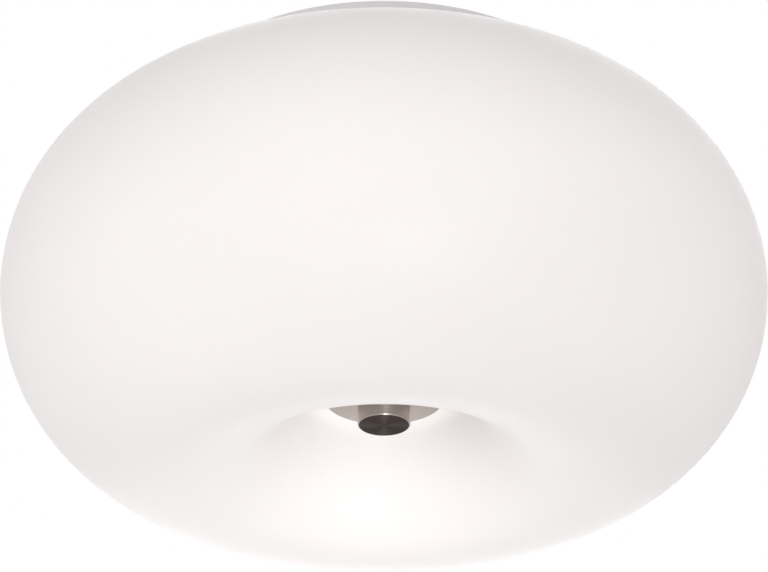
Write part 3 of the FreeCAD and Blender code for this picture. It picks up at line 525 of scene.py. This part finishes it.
def moulded(name, tone, roughness, grain, depth, glow=0.0):
    """A moulded skin with a fine grain and a slight drift in tone, for plastic, rubber and paint.

    The grain is in features per metre, and glow is the share of light that passes under the skin.
    """
    finish = Finish(name, roughness)
    finish.shader.inputs["Subsurface Weight"].default_value = glow
    finish.shader.inputs["Subsurface Radius"].default_value = (1.0, 1.0, 1.0)
    finish.shader.inputs["Subsurface Scale"].default_value = 0.0015
    finish.paint(finish.blend(finish.spread(finish.noise(90.0)), shade_of(tone, 0.9), tone))
    finish.rough(finish.noise(300.0), roughness - 0.06, roughness + 0.06)
    finish.relief(finish.noise(grain), depth, 0.6)
    return finish.material


def clear_silicone():
    """Milky silicone that lets some light through."""
    finish = Finish("clear_silicone", 0.32)
    shader = finish.shader.inputs
    shader["Transmission Weight"].default_value = 0.55
    shader["IOR"].default_value = 1.41
    cloud = finish.spread(finish.noise(200.0))
    finish.paint(finish.blend(cloud, (0.82, 0.83, 0.82), (0.9, 0.9, 0.89)))
    finish.relief(finish.noise(900.0), 0.03 * MM, 0.5)
    return finish.material


def white_foam():
    """Closed-cell foam: small cells in a soft matt skin, each cell's hollow painted darker as
    painted shade.
    """
    finish = Finish("white_foam", 0.9)
    cells = finish.add("ShaderNodeTexVoronoi", feature="F1")
    cells.inputs["Scale"].default_value = 1700.0
    finish.link(finish.place, cells.inputs["Vector"])
    pores_and_shade = finish.spread(cells.outputs["Distance"], 0.05, 0.5)
    # Each cell hollow is dented by the relief and also painted darker: painted shade in the
    # recesses.
    finish.paint(finish.blend(pores_and_shade, (0.62, 0.61, 0.59), (0.86, 0.855, 0.84)))
    finish.relief(pores_and_shade, 0.12 * MM, 0.8)
    return finish.material


def frosted_glass():
    """A bulb's envelope, white from the powder inside, with a smooth outside."""
    finish = Finish("frosted_bulb_glass", 0.28)
    shader = finish.shader.inputs
    shader["Subsurface Weight"].default_value = 0.15
    shader["Subsurface Radius"].default_value = (1.0, 1.0, 1.0)
    shader["Subsurface Scale"].default_value = 0.001
    shader["Coat Weight"].default_value = 0.5
    shader["Coat Roughness"].default_value = 0.06
    cloud = finish.spread(finish.noise(55.0, detail=2.0))
    finish.paint(finish.blend(cloud, (0.84, 0.84, 0.82), (0.9, 0.9, 0.885)))
    finish.relief(finish.noise(40.0, detail=1.0), 0.2 * MM, 0.3)
    return finish.material


def rolled_metal(name, tone, low, high):
    """A thin rolled metal with small dents and streaks, rough between two limits."""
    finish = Finish(name, low, 1.0)
    streaks = finish.noise(240.0, detail=4.0, distortion=0.6)
    finish.paint(finish.blend(finish.spread(streaks), shade_of(tone, 0.85), tone))
    finish.rough(streaks, low, high)
    finish.relief(finish.noise(500.0), 0.06 * MM, 0.5)
    return finish.material


# ---------------------------------------------------------------- the shade
FUNNEL_PARTS = 6
GLASS_SHARP = 50.0


def shade_section(sizes, inset):
    """One skin of the glass below the widest line: oval, roll, funnel, fillet and seat."""
    middle = (sizes.radius - sizes.across, sizes.equator)
    across = sizes.across - inset
    drop = sizes.down - inset
    end = math.atan2(drop, across * math.tan(sizes.roll_slope))
    points = oval(middle, across, -drop, 0.0, end, OVAL_STEPS)
    leave = Vector(points[-1])
    fillet = sizes.seat_fillet + inset
    flat = Vector((sizes.seat_radius, sizes.seat + inset))
    fillet_middle = flat - Vector((0.0, fillet))
    facing = Vector((math.sin(sizes.funnel_slope), math.cos(sizes.funnel_slope)))
    turn = fillet_middle + facing * fillet
    roll = (leave - turn).dot(facing) / (1 - math.cos(sizes.roll_slope + sizes.funnel_slope))
    roll_middle = leave + Vector((-math.sin(sizes.roll_slope), math.cos(sizes.roll_slope))) * roll
    start_angle = sizes.roll_slope - math.pi / 2
    end_angle = -math.pi / 2 - sizes.funnel_slope
    points += arc(roll_middle, roll, start_angle, end_angle, ROLL_STEPS)[1:]
    rise = Vector(points[-1])
    points += [tuple(rise.lerp(turn, part / FUNNEL_PARTS)) for part in range(1, FUNNEL_PARTS)]
    quarter = math.pi / 2
    points += arc(fillet_middle, fillet, quarter - sizes.funnel_slope, quarter, FILLET_STEPS)
    return points


def shade_shoulder(sizes, inset, radius):
    """One skin above the widest line, from the widest point in to this radius."""
    middle = sizes.radius - sizes.across
    across = sizes.across - inset
    end = math.acos((radius - middle) / across)
    return oval((middle, sizes.equator), across, sizes.up - inset, 0.0, end, OVAL_STEPS)


def neck_bend(shoulder, radius, bend, rim):
    """The shoulder with its last corner bent up to the rim."""
    curve = rounded(shoulder[-2], shoulder[-1], (radius, rim), bend, BEND_STEPS)
    start = curve[0][0] + 0.01 * MM
    return [point for point in shoulder if point[0] > start] + curve


def shade_outline(sizes):
    """The whole closed outline of the glass, from the rim round the outside and back inside."""
    wall, rim, collar = sizes.wall, sizes.rim, sizes.collar
    neck = collar - wall
    outer = neck_bend(shade_shoulder(sizes, 0.0, collar), collar, sizes.collar_bend, rim)
    inner = neck_bend(shade_shoulder(sizes, wall, neck), neck, sizes.collar_bend + wall, rim)
    below = rim - 10 * MM  # only its direction from the rim counts
    lip = rounded((neck, below), (neck, rim), (collar, rim), sizes.rim_round)
    lip += rounded((neck, rim), (collar, rim), (collar, below), sizes.rim_round)
    seat, inside = sizes.seat, sizes.seat + wall
    far, hole = sizes.seat_radius, sizes.hole
    ground = rounded((far, seat), (hole, seat), (hole, inside), sizes.hole_round)
    ground += rounded((hole, seat), (hole, inside), (far, inside), sizes.hole_round)
    under = shade_section(sizes, 0.0)[1:]
    over = shade_section(sizes, wall)[1:]
    return lip + outer[::-1] + under + ground + over[::-1] + inner


class CEILING_LIGHT_OT_shade(bpy.types.Operator):
    """Blow the opal glass shade and finish the soft parts that touch it"""
    bl_idname = "ceiling_light.shade"
    bl_label = "Glass shade"

    def execute(self, context):
        look = context.scene.ceiling_light_colours
        outline = shade_outline(context.scene.ceiling_light_shade)
        piece = spun("opal_glass_shade", outline, GLASS_ROUND, crease=GLASS_SHARP)
        install(piece, "shade", "opal_glass", opal_glass(look.opal), "glass_shade")
        refinish(clear_silicone(), "glass_bush")
        refinish(white_foam(), "rim_gasket")
        return {"FINISHED"}


# ---------------------------------------------------------------- knob and disc
KNOB_FACE_STEPS = 8
KNOB_SIDE_STEPS = 6
KNOB_SHARP = 20.0
# The knob's material slots after its side, in the order in which they are added
FACE, CHAMFER = 1, 2


def knob_outline(sizes, end, top):
    """Half the knob's section, from the middle of its end face round to the end of its bore."""
    mark = sizes.centre_mark
    bore_end = end + sizes.end_wall
    face = (sizes.radius - sizes.chamfer, end)
    shoulder = (sizes.radius, end + sizes.chamfer)
    outline = [(0.0, end + mark / 2), (mark, end)]
    outline += straight((mark, end), face, KNOB_FACE_STEPS)
    outline += [shoulder] + straight(shoulder, (sizes.radius, top), KNOB_SIDE_STEPS)
    return outline + [(sizes.bore, top), (sizes.bore, bore_end), (0.0, bore_end)]


class CEILING_LIGHT_OT_knob(bpy.types.Operator):
    """Turn the knob and press the disc that hold the glass"""
    bl_idname = "ceiling_light.knob"
    bl_label = "Knob and disc"

    def execute(self, context):
        sizes = context.scene.ceiling_light_knob
        look = context.scene.ceiling_light_colours
        nickel = turned_nickel("satin_nickel", look.nickel)
        low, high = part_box("knob")
        end = low.z
        outline = knob_outline(sizes, end, high.z)
        knob = spun("turned_knob", outline, METAL_ROUND, closed=False, crease=KNOB_SHARP)
        # The side takes a darker copy of the nickel: painted shade.
        knob.data.materials.append(turned_nickel("knob_side", look.knob_side))
        # The end face takes a near-black copy of the nickel: a painted reflection of a dark room.
        knob.data.materials.append(turned_nickel("knob_face", look.knob_face, 0.42, 0.56, 0.9))
        for panel in knob.data.polygons:
            if panel.center.z < end + sizes.chamfer / 4:
                panel.material_index = FACE
            elif panel.center.z < end + sizes.chamfer:
                panel.material_index = CHAMFER
        install(knob, "knob", "satin_nickel", nickel, "knob")
        low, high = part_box("retaining_disc")
        edge = sizes.disc_edge
        disc = spun("pressed_disc", turned_outline([
            (sizes.disc_bore, low.z), (sizes.disc_radius, low.z, edge),
            (sizes.disc_radius, high.z, edge), (sizes.disc_bore, high.z),
        ]), METAL_ROUND)
        install(disc, "retainer", "satin_nickel", nickel, "retaining_disc")
        return {"FINISHED"}


# ---------------------------------------------------------------- rod and bridge
ROD_STEPS = 6
ROD_SHARP = 60.0
# Share of half a pitch that is flat at a thread's crest, and again at its root
FLAT = 0.12


class CEILING_LIGHT_OT_rod(bpy.types.Operator):
    """Cut the rod's thread and finish the bridge, nuts, washer and rivets"""
    bl_idname = "ceiling_light.rod"
    bl_label = "Threaded rod and bridge"

    def execute(self, context):
        sizes = context.scene.ceiling_light_rod
        zinc = zinc_plate(context.scene.ceiling_light_colours.zinc)
        low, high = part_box("threaded_rod")
        start, end = low.z, high.z

        def thread(turn, height):
            flank = min(max(1.0 - abs(2.0 * turn - 1.0), FLAT), 1.0 - FLAT)
            to_end = min(height - start, end - height)
            chamfered = sizes.radius - max(0.0, sizes.chamfer - to_end)
            cut = sizes.depth * (flank - FLAT) / (1.0 - 2 * FLAT)
            return min(chamfered, sizes.radius - cut)

        rows = thread_rows(start, end, sizes.pitch, ROD_ROUND, ROD_STEPS, thread)
        rows = [[(0.0, 0.0, start)]] + rows + [[(0.0, 0.0, end)]]
        rod = skinned("rod_with_thread", rows, closed=False, crease=ROD_SHARP)
        install(rod, "base", "zinc_steel", zinc, "threaded_rod")
        refinish(zinc, "rod_bridge", "rod_nuts", "rod_washer", "bridge_rivets")
        return {"FINISHED"}


# ---------------------------------------------------------------- pan
class CEILING_LIGHT_OT_pan(bpy.types.Operator):
    """Enamel the ceiling pan and finish the grommet in it"""
    bl_idname = "ceiling_light.pan"
    bl_label = "Ceiling pan"

    def execute(self, context):
        refinish(white_enamel(context.scene.ceiling_light_colours.enamel), "ceiling_pan")
        rubber = moulded("grey_rubber", (0.19, 0.19, 0.195), 0.62, grain=1400.0, depth=0.05 * MM)
        refinish(rubber, "cable_grommet")
        return {"FINISHED"}


# ---------------------------------------------------------------- lampholders
SLEEVE_STEPS = 12
# Kept inside the CAD sleeve's radius
SLEEVE_EASE = 0.02 * MM


class CEILING_LIGHT_OT_lampholders(bpy.types.Operator):
    """Press the lampholders' screw sleeves and finish bodies, brackets, contacts and screws"""
    bl_idname = "ceiling_light.lampholders"
    bl_label = "Lampholders"

    def execute(self, context):
        sizes = context.scene.ceiling_light_bulb
        look = context.scene.ceiling_light_colours
        brass = plain_brass(look.brass)
        porcelain = glazed_porcelain(look.porcelain)
        zinc = zinc_plate(look.zinc)
        for side in SIDES:
            node = "lampholder_shell_" + side
            low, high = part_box(node)
            outer = (high.z - low.z) / 2 - SLEEVE_EASE
            length = high.x - low.x

            def sleeve(turn, height):
                return outer - sizes.shell_wave * (0.5 - 0.5 * math.cos(math.tau * turn))

            def bore(turn, height):
                return sleeve(turn, height) - sizes.shell_sheet

            outside, inside = (
                thread_rows(0.0, length, sizes.cap_pitch, PLAIN_ROUND, SLEEVE_STEPS, skin_at)
                for skin_at in (sleeve, bore)
            )
            piece = skinned("screw_sleeve_" + side, outside + inside[::-1], closed=True)
            lay_in_holder(piece, node, side)
            install(piece, "base", "brass", brass, node)
            refinish(porcelain, "lampholder_body_" + side)
            refinish(zinc, "lampholder_bracket_" + side)
            refinish(brass, "lampholder_contact_" + side)
        refinish(zinc, "lampholder_screws", "bracket_rivets")
        return {"FINISHED"}


# ---------------------------------------------------------------- bulbs
CAP_STEPS = 14
# The part of a turn in which the cap's thread fades at its ends
FADE = 0.45
CAP_SHEET = 0.6 * MM
CAP_EASE = 0.05 * MM
CAP_EDGE = 0.15 * MM
CAP_SHOULDER = 0.5 * MM


def bulb_skin(sizes, length, ball, inset):
    """One skin of the bulb's glass, from the end of the neck to the top of the ball."""
    centre = length - ball
    ball -= inset
    neck = sizes.neck - inset
    to_ball = centre - sizes.neck_length
    bend = (to_ball ** 2 - ball ** 2 + neck ** 2) / (2 * (ball - neck))
    meet = math.atan2(to_ball, neck + bend)
    outline = [(neck, 0.0)]
    outline += oval((neck + bend, sizes.neck_length), -bend, bend, 0.0, meet, NECK_STEPS)
    return outline + arc((0.0, centre), ball, -meet, math.pi / 2, OVAL_STEPS)[1:]


def cap_rows(sizes):
    """The rolled screw cap: a helical thread, a plain skirt over the neck and a thin wall."""
    middle = sizes.cap_radius - sizes.cap_depth / 2
    thread_end = sizes.cap_turns * sizes.cap_pitch

    def rolled(turn, height):
        to_end = min(height, thread_end - height)
        fade = min(1.0, to_end / (FADE * sizes.cap_pitch))
        return middle + fade * sizes.cap_depth / 2 * math.sin(math.tau * turn)

    rows = thread_rows(0.0, thread_end, sizes.cap_pitch, PLAIN_ROUND, CAP_STEPS, rolled)
    outer = sizes.cap_radius
    bore = outer - sizes.cap_depth - CAP_SHEET
    seat, seat_end = sizes.neck + CAP_EASE, thread_end - CAP_EASE
    skirt_end = thread_end + sizes.cap_skirt
    for radius, height in (
        (outer, thread_end + CAP_SHOULDER), (outer, skirt_end - CAP_EDGE),
        (outer - CAP_EDGE, skirt_end), (seat, skirt_end), (seat, seat_end),
        (bore, seat_end), (bore, 0.0),
    ):
        rows.append(ring(radius, height, PLAIN_ROUND))
    return rows


class CEILING_LIGHT_OT_bulbs(bpy.types.Operator):
    """Blow the two bulbs, roll their screw caps and finish their ends"""
    bl_idname = "ceiling_light.bulbs"
    bl_label = "Bulbs"

    def execute(self, context):
        sizes = context.scene.ceiling_light_bulb
        glass = frosted_glass()
        aluminium = rolled_metal("bulb_aluminium", (0.74, 0.74, 0.75), 0.26, 0.42)
        black = moulded("black_glass", (0.016, 0.016, 0.02), 0.14, grain=300.0, depth=0.04 * MM)
        solder = rolled_metal("solder", (0.66, 0.66, 0.65), 0.3, 0.5)
        for side in SIDES:
            body = "bulb_" + side
            node = "bulb_glass_" + side
            low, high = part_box(node)
            length, ball = high.x - low.x, (high.z - low.z) / 2
            outer = bulb_skin(sizes, length, ball, 0.0)
            inner = bulb_skin(sizes, length, ball, sizes.wall)
            piece = spun("bulb_envelope_" + side, outer + inner[::-1])
            lay_in_holder(piece, node, side)
            install(piece, body, "frosted_bulb_glass", glass, node)
            node = "bulb_cap_" + side
            piece = skinned("bulb_screw_cap_" + side, cap_rows(sizes), closed=True)
            lay_in_holder(piece, node, side)
            install(piece, body, "bulb_aluminium", aluminium, node)
            refinish(black, "bulb_insulator_" + side)
            refinish(solder, "bulb_tip_" + side)
        return {"FINISHED"}


# ---------------------------------------------------------------- wiring
class CEILING_LIGHT_OT_wiring(bpy.types.Operator):
    """Finish the terminal block, the earth point and the wires"""
    bl_idname = "ceiling_light.wiring"
    bl_label = "Terminals and wires"

    def execute(self, context):
        look = context.scene.ceiling_light_colours
        nylon = moulded(
            "white_nylon", (0.84, 0.83, 0.79), 0.42, grain=1300.0, depth=0.03 * MM, glow=0.15
        )
        refinish(nylon, "terminal_block")
        refinish(plain_brass(look.brass), "terminal_clamps")
        zinc = zinc_plate(look.zinc)
        refinish(zinc, "terminal_screws", "terminal_block_screw", "earth_screw", "earth_washer")
        refinish(rolled_metal("tinned_copper", (0.74, 0.73, 0.70), 0.26, 0.4), "earth_lug")
        for name, tone, start in (
            ("green_core", look.green, "earth_wire"), ("brown_core", look.brown, "live_wire"),
            ("blue_core", look.blue, "neutral_wire"),
        ):
            finish = moulded(name, tone, 0.34, grain=800.0, depth=0.02 * MM)
            refinish(finish, *[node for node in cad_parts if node.startswith(start)])
        return {"FINISHED"}


# ---------------------------------------------------------------- stage
EYE = (0.0, -1.1629, -0.6631)
LOOK_AT = (0.0, 0.0, -0.0760)
SENSOR = 36.0
NEAR = 0.05
FLOOR_RADIUS = 14.0
# Soft lamps: name, place, width; all of them aim at the middle of the shade
SHADE_MIDDLE = (0.0, 0.0, -0.09)
SOFT_LAMPS = (
    ("left", (-1.8, -0.9, -0.3), 1.2),
    ("left_front", (-1.5, -1.4, 0.3), 1.2),
    ("right", (1.5, -1.3, 0.5), 1.2),
    ("front", (0.3, -1.6, -1.5), 0.6),
    ("low", (0.0, 0.9, -1.6), 1.0),
    ("back", (0.0, 2.0, -0.2), 1.2),
    ("top", (0.3, 1.8, 1.4), 1.4),
)
# Narrow lamps: name, place, target, beam in degrees, radius of the bulb
NARROW_LAMPS = (
    ("dimple", (0.12, -0.45, -1.9), (-0.01, 0.035, -0.14), 4.5, 0.05),
    ("slope", (-0.02, -1.69, -1.33), (-0.008, 0.03, -0.128), 2.2, 0.02),
    ("knob", (-0.1, 0.9, -1.6), (0.0, 0.0, -0.153), 4.0, 0.08),
)


def aim(holder, place, target):
    """Puts an object in place, with its -Z side towards a target."""
    holder.location = place
    way = Vector(target) - Vector(place)
    holder.rotation_euler = way.to_track_quat("-Z", "Y").to_euler()


def hang_lamp(name, light, place, target):
    """Puts a lamp in place, aimed and unseen by the camera."""
    holder = bpy.data.objects.new(name, light)
    bpy.context.scene.collection.objects.link(holder)
    aim(holder, place, target)
    holder.visible_camera = False


def soft_lamp(name, place, target, width, watts):
    """A soft square lamp."""
    light = bpy.data.lights.new(name, "AREA")
    light.shape = "SQUARE"
    light.size = width
    light.energy = watts
    hang_lamp(name, light, place, target)


def narrow_lamp(name, place, target, beam, width, watts):
    """A soft-edged narrow lamp, with its beam in degrees and the radius of its bulb."""
    light = bpy.data.lights.new(name, "SPOT")
    light.spot_size = math.radians(beam)
    light.spot_blend = 1.0
    light.shadow_soft_size = width
    light.energy = watts
    hang_lamp(name, light, place, target)


def seen_rays(tree):
    """One for the rays that show a background: to the eye, in reflections and through glass."""
    path = tree.nodes.new("ShaderNodeLightPath")
    seen = path.outputs["Is Camera Ray"]
    for kind in ("Is Glossy Ray", "Is Transmission Ray"):
        either = tree.nodes.new("ShaderNodeMath")
        either.operation = "MAXIMUM"
        tree.links.new(seen, either.inputs[0])
        tree.links.new(path.outputs[kind], either.inputs[1])
        seen = either.outputs[0]
    return seen


def white_room(level):
    """A world that is white to the eye and in reflections, and lights the object evenly."""
    world = bpy.data.worlds.new("white_room")
    world.use_nodes = True
    tree = world.node_tree
    tree.nodes.clear()
    soft = tree.nodes.new("ShaderNodeBackground")
    soft.inputs["Color"].default_value = WHITE
    soft.inputs["Strength"].default_value = level
    seen = tree.nodes.new("ShaderNodeBackground")
    seen.inputs["Color"].default_value = WHITE
    mix = tree.nodes.new("ShaderNodeMixShader")
    tree.links.new(seen_rays(tree), mix.inputs["Fac"])
    tree.links.new(soft.outputs[0], mix.inputs[1])
    tree.links.new(seen.outputs[0], mix.inputs[2])
    out = tree.nodes.new("ShaderNodeOutputWorld")
    tree.links.new(mix.outputs[0], out.inputs["Surface"])
    return world


def pale_floor(share):
    """A matt pale floor, with a share of plain white where it is seen as background."""
    finish = moulded("pale_floor", (0.88, 0.88, 0.88), 0.8, grain=40.0, depth=0.5 * MM)
    tree = finish.node_tree
    white = tree.nodes.new("ShaderNodeEmission")
    weight = tree.nodes.new("ShaderNodeMath")
    weight.operation = "MULTIPLY"
    weight.inputs[1].default_value = share
    tree.links.new(seen_rays(tree), weight.inputs[0])
    mix = tree.nodes.new("ShaderNodeMixShader")
    tree.links.new(weight.outputs[0], mix.inputs["Fac"])
    tree.links.new(tree.nodes["Principled BSDF"].outputs["BSDF"], mix.inputs[1])
    tree.links.new(white.outputs["Emission"], mix.inputs[2])
    tree.links.new(mix.outputs[0], tree.nodes["Material Output"].inputs["Surface"])
    return finish


class CEILING_LIGHT_OT_stage(bpy.types.Operator):
    """Set up the camera, the lamps, the white room and the floor below"""
    bl_idname = "ceiling_light.stage"
    bl_label = "Studio"

    def execute(self, context):
        scene = context.scene
        settings = scene.ceiling_light_stage
        scene.view_settings.view_transform = "Standard"
        camera = bpy.data.cameras.new("camera")
        camera.lens = settings.lens
        camera.sensor_width = SENSOR
        camera.clip_start = NEAR
        holder = bpy.data.objects.new("camera", camera)
        scene.collection.objects.link(holder)
        aim(holder, EYE, LOOK_AT)
        scene.camera = holder
        for name, place, width in SOFT_LAMPS:
            watts = getattr(settings, name + "_power")
            soft_lamp(name + "_lamp", place, SHADE_MIDDLE, width, watts)
        for name, place, target, beam, width in NARROW_LAMPS:
            watts = getattr(settings, name + "_power")
            narrow_lamp(name + "_lamp", place, target, beam, width, watts)
        scene.world = white_room(settings.ambient)
        height = settings.floor_height
        floor = spun("floor", [(0.0, height), (FLOOR_RADIUS, height)], closed=False)
        floor.data.materials.append(pale_floor(settings.floor_white))
        return {"FINISHED"}


# ---------------------------------------------------------------- sidebar
STEPS = (
    CEILING_LIGHT_OT_stage, CEILING_LIGHT_OT_pan, CEILING_LIGHT_OT_rod,
    CEILING_LIGHT_OT_lampholders, CEILING_LIGHT_OT_bulbs, CEILING_LIGHT_OT_wiring,
    CEILING_LIGHT_OT_shade, CEILING_LIGHT_OT_knob,
)
GROUPS = {
    "ceiling_light_shade": ShadeSizes,
    "ceiling_light_knob": KnobSizes,
    "ceiling_light_rod": RodSizes,
    "ceiling_light_bulb": BulbSizes,
    "ceiling_light_colours": FinishColours,
    "ceiling_light_stage": StageSettings,
}


class CEILING_LIGHT_PT_sidebar(bpy.types.Panel):
    """Lists the steps that dress the light, and their sizes"""
    bl_label = "Ceiling Light"
    bl_idname = "CEILING_LIGHT_PT_sidebar"
    bl_space_type = "VIEW_3D"
    bl_region_type = "UI"
    bl_category = "Ceiling Light"

    def draw(self, context):
        for step in STEPS:
            self.layout.operator(step.bl_idname)
        for name, group in GROUPS.items():
            box = self.layout.box()
            for prop in group.__annotations__:
                box.prop(getattr(context.scene, name), prop)


def register():
    for name, group in GROUPS.items():
        bpy.utils.register_class(group)
        setattr(bpy.types.Scene, name, PointerProperty(type=group))
    for step in STEPS:
        bpy.utils.register_class(step)
    bpy.utils.register_class(CEILING_LIGHT_PT_sidebar)


def unregister():
    bpy.utils.unregister_class(CEILING_LIGHT_PT_sidebar)
    for step in reversed(STEPS):
        bpy.utils.unregister_class(step)
    for name, group in reversed(GROUPS.items()):
        delattr(bpy.types.Scene, name)
        bpy.utils.unregister_class(group)


def corners(box):
    """A box as plain lists."""
    return [list(corner) for corner in box]


def main():
    register()
    bpy.ops.ceiling_light.stage()
    bpy.ops.ceiling_light.pan()
    bpy.ops.ceiling_light.rod()
    bpy.ops.ceiling_light.lampholders()
    bpy.ops.ceiling_light.bulbs()
    bpy.ops.ceiling_light.wiring()
    bpy.ops.ceiling_light.shade()
    bpy.ops.ceiling_light.knob()


if __name__ == "__main__":
    main()
